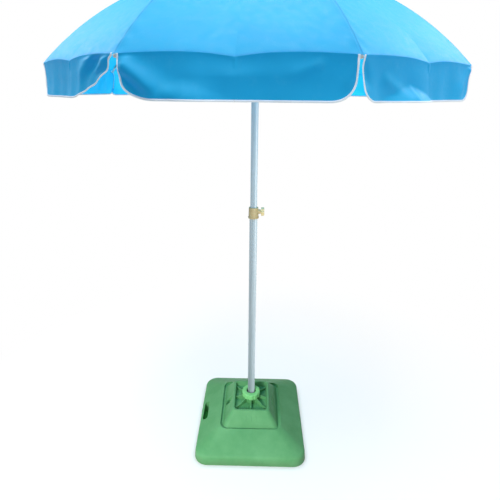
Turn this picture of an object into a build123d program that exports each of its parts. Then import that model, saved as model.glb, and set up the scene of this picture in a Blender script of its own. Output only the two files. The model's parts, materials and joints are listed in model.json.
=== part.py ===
from build123d import *
from math import asin, atan2, cos, degrees, hypot, radians, sin
import os

# A free-standing patio umbrella in its water-filled base, in millimetres.
# +Z is up and the origin is the centre of the base's underside. The pole stands on the Z axis.

# --- base tank -------------------------------------------------------------------------------
BASE_WIDTH = 585.0
BASE_DEPTH = 625.0
BASE_CORNER = 70.0
RIM_HEIGHT = 50.0
RIM_DRAFT = 5.0
RIM_ROUND = 18.0
SHOULDER_WIDTH = 330.0
SHOULDER_CORNER = 36.0
SHOULDER_HEIGHT = 120.0
GROOVE_DEPTH = 12.0
GROOVE_WIDTH = 14.0
BLOCK_CORNER = 26.0
BLOCK_TOP_WIDTH = 200.0
BLOCK_TOP_CORNER = 20.0
BLOCK_TOP = 186.0
BLOCK_EDGE_ROUND = 4.0
WELL_RIM = 9.0
WELL_DEPTH = 26.0
WELL_TAPER = 8.0
WELL_RIB_COUNT = 8
WELL_RIB_THICK = 5.0
WELL_RIB_HEIGHT = 12.0
GUSSET_SHOULDER = 5.0
SOLE_BAND = 55.0
SOLE_DEPTH = 6.0
HANDLE_LENGTH = 136.0
HANDLE_WIDTH = 28.0
HANDLE_BAR = 18.0
PANEL_BAR_COUNT = 3
PANEL_BAR_WIDTH = 9.0
PANEL_BAR_LENGTH = 34.0
PANEL_BAR_PITCH = 26.0
PANEL_BAR_RISE = 2.0

# --- filler on the block's left flank --------------------------------------------------------
FILLER_X = -127.0
FILLER_Y = -6.0
FILLER_POCKET_RADIUS = 21.0
FILLER_FLOOR = 120.0
FILLER_NECK_RADIUS = 10.0
FILLER_NECK_DEPTH = 50.0
FILLER_CAP_RADIUS = 16.0
FILLER_CAP_HEIGHT = 9.0
FILLER_PLUG_LENGTH = 12.0
FILLER_GRIP_THICK = 6.0
FILLER_GRIP_HEIGHT = 7.0
SEAL_THICK = 2.0
SEAL_WIDTH = 4.0

# --- pole socket, collet and locking nut -----------------------------------------------------
SOCKET_FLOOR = 24.0
NECK_RADIUS = 36.0
NECK_TOP = 209.0
COLLET_WALL = 6.0
COLLET_TAPER = 2.5
COLLET_LENGTH = 42.0
COLLET_FLANGE = 3.5
COLLET_FLANGE_HEIGHT = 4.0
COLLET_SLOT_COUNT = 6
COLLET_SLOT_WIDTH = 2.5
NUT_RADIUS = 50.0
NUT_SKIRT = 21.0
NUT_WEB = 9.0
NUT_BORE_RADIUS = 25.0
NUT_LOBE_COUNT = 10
NUT_SCALLOP_RADIUS = 9.0
NUT_SCALLOP_DEPTH = 3.5
NUT_EDGE_ROUND = 4.0

# --- pole tubes ------------------------------------------------------------------------------
LOWER_TUBE_RADIUS = 19.0
UPPER_TUBE_RADIUS = 16.0
TUBE_WALL = 1.5
LOWER_TUBE_TOP = 1260.0
UPPER_TUBE_BOTTOM = 940.0
FOOT_FLANGE = 6.0
FOOT_PLUG_LENGTH = 36.0
GUIDE_LENGTH = 40.0
GUIDE_LIP = 4.0

# --- coupling collar and clamp knob ----------------------------------------------------------
COLLAR_RADIUS = 24.0
COLLAR_BOTTOM = 1244.0
COLLAR_HEIGHT = 52.0
COLLAR_TAPER = 1.5
COLLAR_BOSS_RADIUS = 11.0
COLLAR_BOSS_REACH = 6.0
CLAMP_HEIGHT = 1275.0
INSERT_FLATS = 13.0
INSERT_THICK = 6.0
SCREW_RADIUS = 4.0
KNOB_RADIUS = 20.0
KNOB_THICK = 15.0
KNOB_NECK_RADIUS = 10.0
KNOB_NECK_LENGTH = 5.0
KNOB_LOBE_COUNT = 6
KNOB_SCALLOP_RADIUS = 8.0
KNOB_SCALLOP_DEPTH = 3.0
KNOB_SCREW_DEPTH = 12.0

# --- canopy frame ----------------------------------------------------------------------------
RIB_COUNT = 8
CANOPY_TURN = -3.4
CANOPY_RADIUS = 800.0
CANOPY_EDGE_SLOPE = 46.0
CANOPY_TOP = 2228.0
FABRIC_THICK = 1.2
RIB_WIDTH = 4.0
RIB_HEIGHT = 5.0
RIB_WALL = 0.8
RIB_EYE_RADIUS = 4.5
CREASE_ROOM = 0.9
RIB_START_RADIUS = 36.0
RING_WIRE_RADIUS = 1.2
HUB_PIVOT_RADIUS = 26.0
HUB_PIVOT_DROP = 17.0
HUB_FLANGE_HEIGHT = 11.0
HUB_PLUG_LENGTH = 36.0
HUB_TOP_RADIUS = 18.0
STUD_RADIUS = 4.0
STUD_RISE = 12.0
TIP_RADIUS = 4.6
TIP_SLEEVE = 24.0
TIP_SOCKET_DEPTH = 15.0
TIP_BALL_RADIUS = 5.4
BRACKET_ARC = 20.6
BRACKET_LENGTH = 18.0
BRACKET_WALL = 1.6
BRACKET_LUG_RADIUS = 4.5
STRETCHER_PIVOT_DROP = 11.0
STRETCHER_SIDE_STEP = 5.4
STRETCHER_THICK = 2.4
STRETCHER_HEIGHT = 6.0
STRETCHER_EYE_RADIUS = 4.5
STRETCHER_FLUTE_WIDTH = 2.8
STRETCHER_FLUTE_DEPTH = 0.8
RIVET_RADIUS = 3.2
RIVET_HEAD = 1.2
RUNNER_DROP = 300.0
RUNNER_PIVOT_RADIUS = 26.0
RUNNER_FLANGE_HEIGHT = 11.0
RUNNER_SKIRT_LENGTH = 62.0
RUNNER_SKIRT_RADIUS = 20.5
RUNNER_GRIP_RADIUS = 23.5
RUNNER_GRIP_LENGTH = 18.0
CATCH_LENGTH = 44.0
CATCH_WIDTH = 6.0
CATCH_THICK = 1.0
CATCH_REACH = 3.6

# --- cloth and crown fittings ----------------------------------------------------------------
VALANCE_DROP = 106.0
VALANCE_SIDE_GAP = 9.0
VALANCE_CORNER = 48.0
FINIAL_RADIUS = 19.0
FINIAL_HEIGHT = 26.0
FINIAL_BASE = 5.0

# --- clearances ------------------------------------------------------------------------------
SLIDE_GAP = 0.3
SEAT_GAP = 0.3
THREAD_GAP = 0.4
PIN_GAP = 0.5
SOCKET_GAP = 1.5
NUT_SWING_GAP = 2.0

# --- worked out from the values above --------------------------------------------------------
DEPTH_EXTRA = BASE_DEPTH - BASE_WIDTH
BLOCK_WIDTH = SHOULDER_WIDTH - 2 * GROOVE_WIDTH
GROOVE_FLOOR = SHOULDER_HEIGHT - GROOVE_DEPTH
WELL_FLOOR = BLOCK_TOP - WELL_DEPTH
WELL_WIDTH = BLOCK_TOP_WIDTH - 2 * WELL_RIM
NUT_BOTTOM = NECK_TOP + COLLET_FLANGE_HEIGHT + SEAT_GAP - NUT_SKIRT
GUSSET_TOP = NUT_BOTTOM - NUT_SWING_GAP
HANDLE_X = -(BASE_WIDTH / 2 - HANDLE_BAR - HANDLE_WIDTH / 2)
LOWER_BORE = LOWER_TUBE_RADIUS - TUBE_WALL
UPPER_BORE = UPPER_TUBE_RADIUS - TUBE_WALL
COLLAR_FACE = COLLAR_RADIUS + COLLAR_BOSS_REACH
ARC_RADIUS = CANOPY_RADIUS / sin(radians(CANOPY_EDGE_SLOPE))
HALF_GORE = 180.0 / RIB_COUNT
ARC_CENTRE = CANOPY_TOP - ARC_RADIUS
RIB_ARC_RADIUS = ARC_RADIUS - FABRIC_THICK - CREASE_ROOM - SEAT_GAP - TIP_RADIUS
RIB_START_ARC = degrees(asin(RIB_START_RADIUS / RIB_ARC_RADIUS))
RIB_END_ARC = CANOPY_EDGE_SLOPE - degrees(TIP_SLEEVE / 2 / RIB_ARC_RADIUS)
HUB_PIVOT_Z = CANOPY_TOP - HUB_PIVOT_DROP
HUB_TOP = CANOPY_TOP - FABRIC_THICK - 2 * SEAT_GAP
TUBE_TOP = HUB_PIVOT_Z - HUB_FLANGE_HEIGHT / 2
RUNNER_PIVOT_Z = HUB_PIVOT_Z - RUNNER_DROP
RUNNER_BOTTOM = RUNNER_PIVOT_Z + RUNNER_FLANGE_HEIGHT / 2 - RUNNER_SKIRT_LENGTH
RIB_AZIMUTHS = [CANOPY_TURN + HALF_GORE + i * 2 * HALF_GORE for i in range(RIB_COUNT)]


def point_on_rib(arc, drop=0.0):
    """Radius and height of a point of the rib's centreline, or of one that lies drop inside it."""
    reach = RIB_ARC_RADIUS - drop
    return reach * sin(radians(arc)), ARC_CENTRE + reach * cos(radians(arc))


def level_outline(width, corner, height):
    """One level of the tank, which is as much deeper than wide as the whole tank is."""
    return Pos(0, 0, height) * RectangleRounded(width, width + DEPTH_EXTRA, corner)


def tapered_block(width, corner, height, top_width, top_corner, top):
    sections = [level_outline(width, corner, height), level_outline(top_width, top_corner, top)]
    return loft(sections, ruled=True)


def edges_at(solid, height):
    return solid.edges().filter_by(lambda e: abs(e.bounding_box().min.Z - height) < 0.01
                                   and abs(e.bounding_box().max.Z - height) < 0.01)


def ring(outer, inner, bottom, height):
    """A plain round sleeve on the Z axis."""
    return Pos(0, 0, bottom) * extrude(Circle(outer) - Circle(inner), height)


def disc(radius, bottom, height):
    return Pos(0, 0, bottom) * extrude(Circle(radius), height)


def cone(bottom_radius, top_radius, bottom, height):
    return Pos(0, 0, bottom + height / 2) * Cone(bottom_radius, top_radius, height)


def lobed_outline(radius, lobe_count, scallop_radius, scallop_depth):
    """A circle with finger scallops spaced evenly round it."""
    away = radius + scallop_radius - scallop_depth
    return Circle(radius) - PolarLocations(away, lobe_count) * Circle(scallop_radius)


def wire_groove(pivot_z, wire_circle):
    """The cutter for a rim groove that holds a ring of wire, open to the outside."""
    groove = RING_WIRE_RADIUS + 0.2 * PIN_GAP
    section = Circle(groove) + Pos(groove, 0) * Rectangle(2 * groove, 2 * groove)
    return revolve(Plane.XZ * Pos(wire_circle, pivot_z) * section, Axis.Z)


def wire_ring(pivot_z, wire_circle):
    return Pos(0, 0, pivot_z) * Torus(wire_circle, RING_WIRE_RADIUS)


def extrude_side(outline, side_from, thickness):
    """Extrude an outline drawn in radius and height into a plate, from side_from towards +Y."""
    return Pos(0, side_from + thickness, 0) * extrude(Plane.XZ * outline, thickness)


def make_base_tank():
    rim_width = BASE_WIDTH - 2 * RIM_DRAFT
    rim = tapered_block(BASE_WIDTH, BASE_CORNER, 0, rim_width, BASE_CORNER - RIM_DRAFT, RIM_HEIGHT)
    slope = tapered_block(rim_width, BASE_CORNER - RIM_DRAFT, RIM_HEIGHT,
                          SHOULDER_WIDTH, SHOULDER_CORNER, SHOULDER_HEIGHT)
    body = rim + slope
    body = fillet(edges_at(body, RIM_HEIGHT), RIM_ROUND)
    groove_corner = BLOCK_CORNER + GROOVE_WIDTH
    groove = tapered_block(BLOCK_WIDTH + 2 * GROOVE_WIDTH - 2, groove_corner, GROOVE_FLOOR,
                           SHOULDER_WIDTH - 2, groove_corner, SHOULDER_HEIGHT + 1)
    block = tapered_block(BLOCK_WIDTH, BLOCK_CORNER, GROOVE_FLOOR,
                          BLOCK_TOP_WIDTH, BLOCK_TOP_CORNER, BLOCK_TOP)
    block = fillet(edges_at(block, BLOCK_TOP), BLOCK_EDGE_ROUND)
    body = body - groove + block
    body -= make_well()
    body += make_well_ribs()
    body += disc(NECK_RADIUS, GROOVE_FLOOR, NECK_TOP - GROOVE_FLOOR)
    body -= make_socket()
    body -= make_filler_cutter()
    body -= make_handle_slot()
    body += make_panel_bars()
    return body - make_sole()


def make_well():
    return tapered_block(WELL_WIDTH - 2 * WELL_TAPER, BLOCK_TOP_CORNER - WELL_TAPER, WELL_FLOOR,
                         WELL_WIDTH, BLOCK_TOP_CORNER - WELL_TAPER / 2, BLOCK_TOP + 1)


def make_well_ribs():
    """Gussets that brace the neck, falling from under the nut to the wall of the well."""
    foot = WELL_FLOOR - 1
    outer_top = WELL_FLOOR + WELL_RIB_HEIGHT
    outline = Polyline((0, foot), (WELL_WIDTH, foot), (WELL_WIDTH, outer_top), (WELL_WIDTH / 2, outer_top),
                       (NECK_RADIUS + GUSSET_SHOULDER, GUSSET_TOP), (0, GUSSET_TOP), close=True)
    gusset = extrude_side(make_face(outline), -WELL_RIB_THICK / 2, WELL_RIB_THICK)
    spread = [Rot(0, 0, i * 360 / WELL_RIB_COUNT) * gusset for i in range(WELL_RIB_COUNT)]
    plan = Rectangle(WELL_WIDTH - WELL_TAPER, WELL_WIDTH - WELL_TAPER + DEPTH_EXTRA)
    return (Part() + spread) & Pos(0, 0, foot) * extrude(plan, GUSSET_TOP - foot)


def make_socket():
    """The blind hole for the pole, with the cone that squeezes the collet at its mouth."""
    collet_bottom = NECK_TOP - COLLET_LENGTH
    bore = LOWER_TUBE_RADIUS + SOCKET_GAP
    mouth = LOWER_TUBE_RADIUS + SLIDE_GAP + COLLET_WALL + SLIDE_GAP
    shaft = disc(bore, SOCKET_FLOOR, collet_bottom - SOCKET_FLOOR + 1)
    return shaft + cone(mouth - COLLET_TAPER, mouth, collet_bottom, COLLET_LENGTH)


def make_filler_cutter():
    pocket = disc(FILLER_POCKET_RADIUS, FILLER_FLOOR, BLOCK_TOP - FILLER_FLOOR)
    neck = disc(FILLER_NECK_RADIUS, FILLER_FLOOR - FILLER_NECK_DEPTH, FILLER_NECK_DEPTH)
    return Pos(FILLER_X, FILLER_Y, 0) * (pocket + neck)


def make_handle_slot():
    """The hand hole through the left slope, which leaves the rim standing as a carrying bar."""
    outline = Pos(HANDLE_X, 0) * SlotOverall(HANDLE_LENGTH, HANDLE_WIDTH, rotation=90)
    return Pos(0, 0, -1) * extrude(outline, SHOULDER_HEIGHT)


def make_panel_bars():
    """Plain raised bars, moulded in a row on the block's front and right faces."""
    run = (BLOCK_WIDTH - BLOCK_TOP_WIDTH) / 2
    rise = BLOCK_TOP - GROOVE_FLOOR
    middle = (BLOCK_WIDTH + BLOCK_TOP_WIDTH) / 4
    half_up = GROOVE_FLOOR + rise / 2
    front = Plane((0, -middle - DEPTH_EXTRA / 2, half_up), x_dir=(1, 0, 0), z_dir=(0, -rise, run))
    side = Plane((middle, 0, half_up), x_dir=(0, 1, 0), z_dir=(rise, 0, run))
    bar = extrude(RectangleRounded(PANEL_BAR_WIDTH, PANEL_BAR_LENGTH, PANEL_BAR_WIDTH / 2.2),
                  PANEL_BAR_RISE + 1)
    steps = [(i - (PANEL_BAR_COUNT - 1) / 2) * PANEL_BAR_PITCH for i in range(PANEL_BAR_COUNT)]
    return [face * Pos(step, 0, -1) * bar for face in (front, side) for step in steps]


def make_sole():
    """The shallow hollow under the tank that leaves it standing on a band round its edge."""
    return extrude(level_outline(BASE_WIDTH - 2 * SOLE_BAND, BASE_CORNER / 2, -1), SOLE_DEPTH + 1)


def make_filler_seal():
    inner = FILLER_CAP_RADIUS - 1 - SEAL_WIDTH
    return Pos(FILLER_X, FILLER_Y, 0) * ring(FILLER_CAP_RADIUS - 1, inner, FILLER_FLOOR, SEAL_THICK)


def make_filler_cap():
    bottom = FILLER_FLOOR + SEAL_THICK
    head = fillet(edges_at(disc(FILLER_CAP_RADIUS, bottom, FILLER_CAP_HEIGHT),
                           bottom + FILLER_CAP_HEIGHT), 1.5)
    plug = disc(FILLER_NECK_RADIUS - THREAD_GAP, bottom - FILLER_PLUG_LENGTH, FILLER_PLUG_LENGTH)
    grip = Box(2 * FILLER_CAP_RADIUS - 6, FILLER_GRIP_THICK, FILLER_GRIP_HEIGHT,
               align=(Align.CENTER, Align.CENTER, Align.MIN))
    grip = Pos(0, 0, bottom + FILLER_CAP_HEIGHT) * fillet(grip.edges().filter_by(Axis.Z), 2)
    return Pos(FILLER_X, FILLER_Y, 0) * (head + plug + grip)


def make_clamp_collet():
    """A tapered sleeve with slots, so that the nut can close it on the pole."""
    inner = LOWER_TUBE_RADIUS + SLIDE_GAP
    outer = inner + COLLET_WALL
    bottom = NECK_TOP - COLLET_LENGTH + 2
    sleeve = cone(outer - COLLET_TAPER, outer, bottom, NECK_TOP - bottom)
    sleeve += disc(outer + COLLET_FLANGE, NECK_TOP, COLLET_FLANGE_HEIGHT)
    sleeve -= disc(inner, bottom, NECK_TOP + COLLET_FLANGE_HEIGHT - bottom)
    slot_height = COLLET_LENGTH * 0.7
    slot = Pos(outer - COLLET_WALL / 2, 0, bottom + slot_height / 2)
    slot *= Box(3 * COLLET_WALL, COLLET_SLOT_WIDTH, slot_height)
    return sleeve - [Rot(0, 0, i * 360 / COLLET_SLOT_COUNT) * slot for i in range(COLLET_SLOT_COUNT)]


def make_locking_nut():
    top = NUT_BOTTOM + NUT_SKIRT + NUT_WEB
    outline = lobed_outline(NUT_RADIUS, NUT_LOBE_COUNT, NUT_SCALLOP_RADIUS, NUT_SCALLOP_DEPTH)
    nut = Pos(0, 0, NUT_BOTTOM) * extrude(outline, NUT_SKIRT + NUT_WEB)
    nut &= make_nut_dome(top)
    nut -= disc(NECK_RADIUS + THREAD_GAP, NUT_BOTTOM, NUT_SKIRT)
    return nut - cone(NUT_BORE_RADIUS, NUT_BORE_RADIUS + 2, top - NUT_WEB, NUT_WEB)


def make_nut_dome(top):
    """The turned envelope that rounds the nut's lobes over towards its top."""
    tall = disc(NUT_RADIUS + 1, NUT_BOTTOM, top - NUT_BOTTOM)
    return fillet(edges_at(tall, top), NUT_EDGE_ROUND * 2)


def make_lower_tube():
    bottom = SOCKET_FLOOR + FOOT_FLANGE
    return ring(LOWER_TUBE_RADIUS, LOWER_BORE, bottom, LOWER_TUBE_TOP - bottom)


def make_foot_plug():
    flange = disc(LOWER_TUBE_RADIUS, SOCKET_FLOOR, FOOT_FLANGE)
    plug = disc(LOWER_BORE, SOCKET_FLOOR + FOOT_FLANGE, FOOT_PLUG_LENGTH)
    return flange + plug


def make_upper_tube():
    tube = ring(UPPER_TUBE_RADIUS, UPPER_BORE, UPPER_TUBE_BOTTOM, TUBE_TOP - UPPER_TUBE_BOTTOM)
    window = Box(4 * TUBE_WALL, CATCH_WIDTH + 2 * SLIDE_GAP, CATCH_LENGTH,
                 align=(Align.CENTER, Align.CENTER, Align.MAX))
    return tube - Pos(-UPPER_TUBE_RADIUS, 0, RUNNER_BOTTOM) * window


def make_guide_bush():
    """The bush on the upper tube's lower end, which keeps it central in the lower tube."""
    lip = ring(LOWER_BORE - SLIDE_GAP, UPPER_BORE - 2, UPPER_TUBE_BOTTOM - GUIDE_LIP, GUIDE_LIP)
    sleeve = ring(UPPER_BORE, UPPER_BORE - 2, UPPER_TUBE_BOTTOM, GUIDE_LENGTH)
    return lip + sleeve


def along_screw(shape):
    """Place a shape drawn along +Z so that it lies along the clamp screw, which points to +X."""
    return Pos(0, 0, CLAMP_HEIGHT) * Rot(0, 90, 0) * shape


def make_coupling_collar():
    top = COLLAR_BOTTOM + COLLAR_HEIGHT
    sleeve = cone(COLLAR_RADIUS, COLLAR_RADIUS - COLLAR_TAPER, COLLAR_BOTTOM, COLLAR_HEIGHT)
    sleeve = fillet(edges_at(sleeve, top), 3)
    sleeve += ring(COLLAR_RADIUS + 1.2, COLLAR_RADIUS - 2, COLLAR_BOTTOM, 7)
    boss = along_screw(disc(COLLAR_BOSS_RADIUS, 0, COLLAR_FACE))
    collar = sleeve + fillet(boss.edges().group_by(Axis.X)[-1], 1)
    collar -= disc(LOWER_TUBE_RADIUS, COLLAR_BOTTOM, LOWER_TUBE_TOP - COLLAR_BOTTOM)
    collar -= disc(UPPER_TUBE_RADIUS + SLIDE_GAP, LOWER_TUBE_TOP, top - LOWER_TUBE_TOP)
    collar -= along_screw(disc(SCREW_RADIUS + THREAD_GAP, 0, COLLAR_FACE))
    pocket = extrude(RegularPolygon(INSERT_FLATS / 2, 6, major_radius=False), INSERT_THICK)
    return collar - along_screw(Pos(0, 0, COLLAR_FACE - INSERT_THICK) * pocket)


def make_clamp_insert():
    """The hexagonal metal nut let into the collar's boss, which the clamp screw runs in."""
    outline = RegularPolygon(INSERT_FLATS / 2, 6, major_radius=False)
    outline -= Circle(SCREW_RADIUS + 0.5 * THREAD_GAP)
    return along_screw(Pos(0, 0, COLLAR_FACE - INSERT_THICK) * extrude(outline, INSERT_THICK))


def make_clamp_screw():
    tip = UPPER_TUBE_RADIUS + SEAT_GAP
    length = COLLAR_FACE + SEAT_GAP + KNOB_SCREW_DEPTH - tip
    screw = disc(SCREW_RADIUS, tip, length)
    return along_screw(chamfer(edges_at(screw, tip), 0.8))


def make_clamp_knob():
    start = COLLAR_FACE + SEAT_GAP
    outline = lobed_outline(KNOB_RADIUS, KNOB_LOBE_COUNT, KNOB_SCALLOP_RADIUS, KNOB_SCALLOP_DEPTH)
    head = Pos(0, 0, start + KNOB_NECK_LENGTH) * extrude(outline, KNOB_THICK)
    end = start + KNOB_NECK_LENGTH + KNOB_THICK
    envelope = disc(KNOB_RADIUS + 1, start, end - start)
    head &= fillet(edges_at(envelope, end), 4)
    knob = head + disc(KNOB_NECK_RADIUS, start, KNOB_NECK_LENGTH)
    return along_screw(knob - disc(SCREW_RADIUS, start, KNOB_SCREW_DEPTH))


def radial_slots(width, side_step, inner, outer, bottom, height):
    """The cutter for one upright slot behind each rib, side_step to the rib's left."""
    slot = Pos((inner + outer) / 2, side_step, bottom + height / 2) * Box(outer - inner, width, height)
    return [Rot(0, 0, azimuth) * slot for azimuth in RIB_AZIMUTHS]


def make_hub():
    """The crown: a notched disc whose rim groove carries the ring that the ribs hinge on."""
    flange_radius = HUB_PIVOT_RADIUS + RING_WIRE_RADIUS + 0.2 * PIN_GAP
    bottom = HUB_PIVOT_Z - HUB_FLANGE_HEIGHT / 2
    hub = disc(UPPER_BORE, bottom - HUB_PLUG_LENGTH, HUB_PLUG_LENGTH)
    hub += disc(flange_radius, bottom, HUB_FLANGE_HEIGHT)
    hub += disc(HUB_TOP_RADIUS, HUB_PIVOT_Z, HUB_TOP - HUB_PIVOT_Z)
    hub += disc(STUD_RADIUS, HUB_TOP, CANOPY_TOP + STUD_RISE - HUB_TOP)
    inner = HUB_PIVOT_RADIUS - RIB_EYE_RADIUS - SLIDE_GAP
    hub -= radial_slots(RIB_WIDTH + 2 * SLIDE_GAP, 0, inner, flange_radius + 1, bottom, HUB_FLANGE_HEIGHT)
    return hub - wire_groove(HUB_PIVOT_Z, HUB_PIVOT_RADIUS)


def runner_wire_circle():
    return hypot(RUNNER_PIVOT_RADIUS, STRETCHER_SIDE_STEP)


def make_runner():
    """The sliding ring: stretchers hinge on its upper rim and its skirt is the hand grip."""
    flange_radius = runner_wire_circle() + RING_WIRE_RADIUS + 0.2 * PIN_GAP
    top = RUNNER_PIVOT_Z + RUNNER_FLANGE_HEIGHT / 2
    runner = disc(RUNNER_SKIRT_RADIUS, RUNNER_BOTTOM, RUNNER_SKIRT_LENGTH)
    runner += disc(flange_radius, top - RUNNER_FLANGE_HEIGHT, RUNNER_FLANGE_HEIGHT)
    grip = disc(RUNNER_GRIP_RADIUS, RUNNER_BOTTOM, RUNNER_GRIP_LENGTH)
    runner += fillet(grip.edges().filter_by(GeomType.CIRCLE), 2)
    runner -= disc(UPPER_TUBE_RADIUS + SLIDE_GAP, RUNNER_BOTTOM, RUNNER_SKIRT_LENGTH)
    inner = RUNNER_PIVOT_RADIUS - STRETCHER_EYE_RADIUS - SLIDE_GAP
    width = STRETCHER_THICK + 2 * SLIDE_GAP
    runner -= radial_slots(width, STRETCHER_SIDE_STEP, inner, flange_radius + 1,
                           top - RUNNER_FLANGE_HEIGHT, RUNNER_FLANGE_HEIGHT)
    return runner - wire_groove(RUNNER_PIVOT_Z, runner_wire_circle())


def make_runner_catch():
    """The sprung steel tongue in the tube's window, whose ledge holds the runner up."""
    wall = UPPER_BORE - CATCH_THICK
    out = UPPER_TUBE_RADIUS + CATCH_REACH
    ledge = RUNNER_BOTTOM - SEAT_GAP - CATCH_THICK / 2
    path = Polyline((-wall, ledge - CATCH_LENGTH * 1.4), (-wall, ledge - CATCH_LENGTH * 0.8),
                    (-out, ledge), (-wall, ledge))
    return extrude_side(trace(path, CATCH_THICK), -CATCH_WIDTH / 2, CATCH_WIDTH)


def make_rib():
    """One fluted steel rib, drawn in the XZ plane: an arc with an eye at its inner end."""
    section = Rectangle(RIB_WIDTH, RIB_HEIGHT)
    flute = Rectangle(RIB_WIDTH - 2 * RIB_WALL, RIB_HEIGHT - RIB_WALL)
    section -= Pos(0, -RIB_WALL / 2) * flute
    centre = Axis((0, 0, ARC_CENTRE), (0, 1, 0))
    start = Plane.YZ * Pos(0, ARC_CENTRE + RIB_ARC_RADIUS) * section
    arc = revolve(start, centre, RIB_END_ARC - RIB_START_ARC).rotate(centre, RIB_START_ARC)
    root_x, root_z = point_on_rib(RIB_START_ARC + 0.3)
    eye = Pos(HUB_PIVOT_RADIUS, HUB_PIVOT_Z) * Circle(RIB_EYE_RADIUS)
    root = Pos(root_x, root_z) * Circle(RIB_HEIGHT / 2)
    tab = make_hull((eye + root).edges()) - Pos(HUB_PIVOT_RADIUS, HUB_PIVOT_Z) * Circle(
        RING_WIRE_RADIUS + PIN_GAP)
    return arc + extrude_side(tab, -RIB_WIDTH / 2, RIB_WIDTH)


def at_rib(arc, drop=0.0):
    """A frame on the rib's centreline: its Z runs out along the rib and its Y away from the pole."""
    radius, height = point_on_rib(arc, drop)
    outward = (cos(radians(arc)), 0, -sin(radians(arc)))
    return Plane((radius, 0, height), x_dir=(0, 1, 0), z_dir=outward)


def make_rib_tip():
    """The moulded cap on the rib's outer end, with the ball that holds the canopy's corner."""
    frame = at_rib(RIB_END_ARC)
    gap = 0.2
    depth = TIP_SOCKET_DEPTH
    sleeve = Pos(0, 0, -depth) * extrude(Circle(TIP_RADIUS), TIP_SLEEVE)
    ball = Pos(0, 0, TIP_SLEEVE - depth + TIP_BALL_RADIUS / 2) * Sphere(TIP_BALL_RADIUS)
    socket = Pos(0, 0, -depth) * extrude(Rectangle(RIB_WIDTH + 2 * gap, RIB_HEIGHT + 2 * gap), depth + gap)
    return frame * (sleeve + ball - socket)


def make_rib_bracket():
    """The clip pressed round the rib, whose lug carries the stretcher."""
    gap = 0.2
    outer_width = RIB_WIDTH + 2 * gap + 2 * BRACKET_WALL
    outer_height = RIB_HEIGHT + 2 * gap + 2 * BRACKET_WALL
    outline = Rectangle(outer_width, outer_height) - Rectangle(RIB_WIDTH + 2 * gap, RIB_HEIGHT + 2 * gap)
    clip = at_rib(BRACKET_ARC) * Pos(0, 0, -BRACKET_LENGTH / 2) * extrude(outline, BRACKET_LENGTH)
    pivot_x, pivot_z = point_on_rib(BRACKET_ARC, STRETCHER_PIVOT_DROP)
    foot_x, foot_z = point_on_rib(BRACKET_ARC, outer_height / 2 + 0.2)
    eye = Pos(pivot_x, pivot_z) * Circle(BRACKET_LUG_RADIUS)
    foot = Pos(foot_x, foot_z) * Circle(0.6)
    lug = extrude_side(make_hull((eye + foot).edges()), -outer_width / 2, outer_width)
    keep_out = at_rib(BRACKET_ARC) * Box(RIB_WIDTH + 2 * gap, RIB_HEIGHT + 2 * gap, 2 * BRACKET_LENGTH)
    return clip + (lug - keep_out)


def make_stretcher():
    """The pressed bar from the runner to the rib, in its own plane beside the rib."""
    inner = Vector(RUNNER_PIVOT_RADIUS, RUNNER_PIVOT_Z)
    outer = Vector(*point_on_rib(BRACKET_ARC, STRETCHER_PIVOT_DROP))
    lie = degrees(atan2(outer.Y - inner.Y, outer.X - inner.X))
    length = (outer - inner).length
    place = Pos(inner.X, inner.Y) * Rot(0, 0, lie)
    outline = Pos(length / 2, 0) * Rectangle(length, STRETCHER_HEIGHT)
    outline += Circle(STRETCHER_EYE_RADIUS)
    outline += Pos(length, 0) * Circle(STRETCHER_EYE_RADIUS)
    outline -= Circle(RING_WIRE_RADIUS + PIN_GAP)
    back = STRETCHER_SIDE_STEP - STRETCHER_THICK / 2
    bar = extrude_side(place * outline, back, STRETCHER_THICK)
    flute = Pos(length / 2, 0) * Rectangle(length - 6 * STRETCHER_EYE_RADIUS, STRETCHER_FLUTE_WIDTH)
    face = back + STRETCHER_THICK
    bar -= extrude_side(place * flute, face - STRETCHER_FLUTE_DEPTH, STRETCHER_FLUTE_DEPTH)
    return bar + extrude_side(place * Pos(length, 0) * Circle(RIVET_RADIUS), face, RIVET_HEAD)


def gore_wedge(reach):
    """The slice of space between two neighbouring ribs, out to reach, on both sides of +X."""
    half = reach * sin(radians(HALF_GORE)) / cos(radians(HALF_GORE))
    outline = Polygon((0, 0), (reach, -half), (reach, half), align=None)
    return extrude(outline, 2 * CANOPY_TOP)


def make_canopy():
    """The domed cloth: each gore follows the ribs' arc and is straight across."""
    apothem = cos(radians(HALF_GORE))
    centre = (0, ARC_CENTRE)
    outer = EllipticalCenterArc(centre, ARC_RADIUS * apothem, ARC_RADIUS,
                                90 - CANOPY_EDGE_SLOPE, arc_size=CANOPY_EDGE_SLOPE)
    inner = Pos(0, -FABRIC_THICK) * outer
    sides = [Line(outer @ 0, inner @ 0), Line(outer @ 1, inner @ 1)]
    band = Plane.XZ * make_face([outer, inner] + sides)
    strip = extrude(band, CANOPY_RADIUS, both=True)
    gore = strip & gore_wedge(CANOPY_RADIUS * apothem + 1)
    cloth = Part() + [Rot(0, 0, azimuth + HALF_GORE) * gore for azimuth in RIB_AZIMUTHS]
    return cloth - disc(STUD_RADIUS + SLIDE_GAP, CANOPY_TOP - STUD_RISE, 2 * STUD_RISE)


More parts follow.
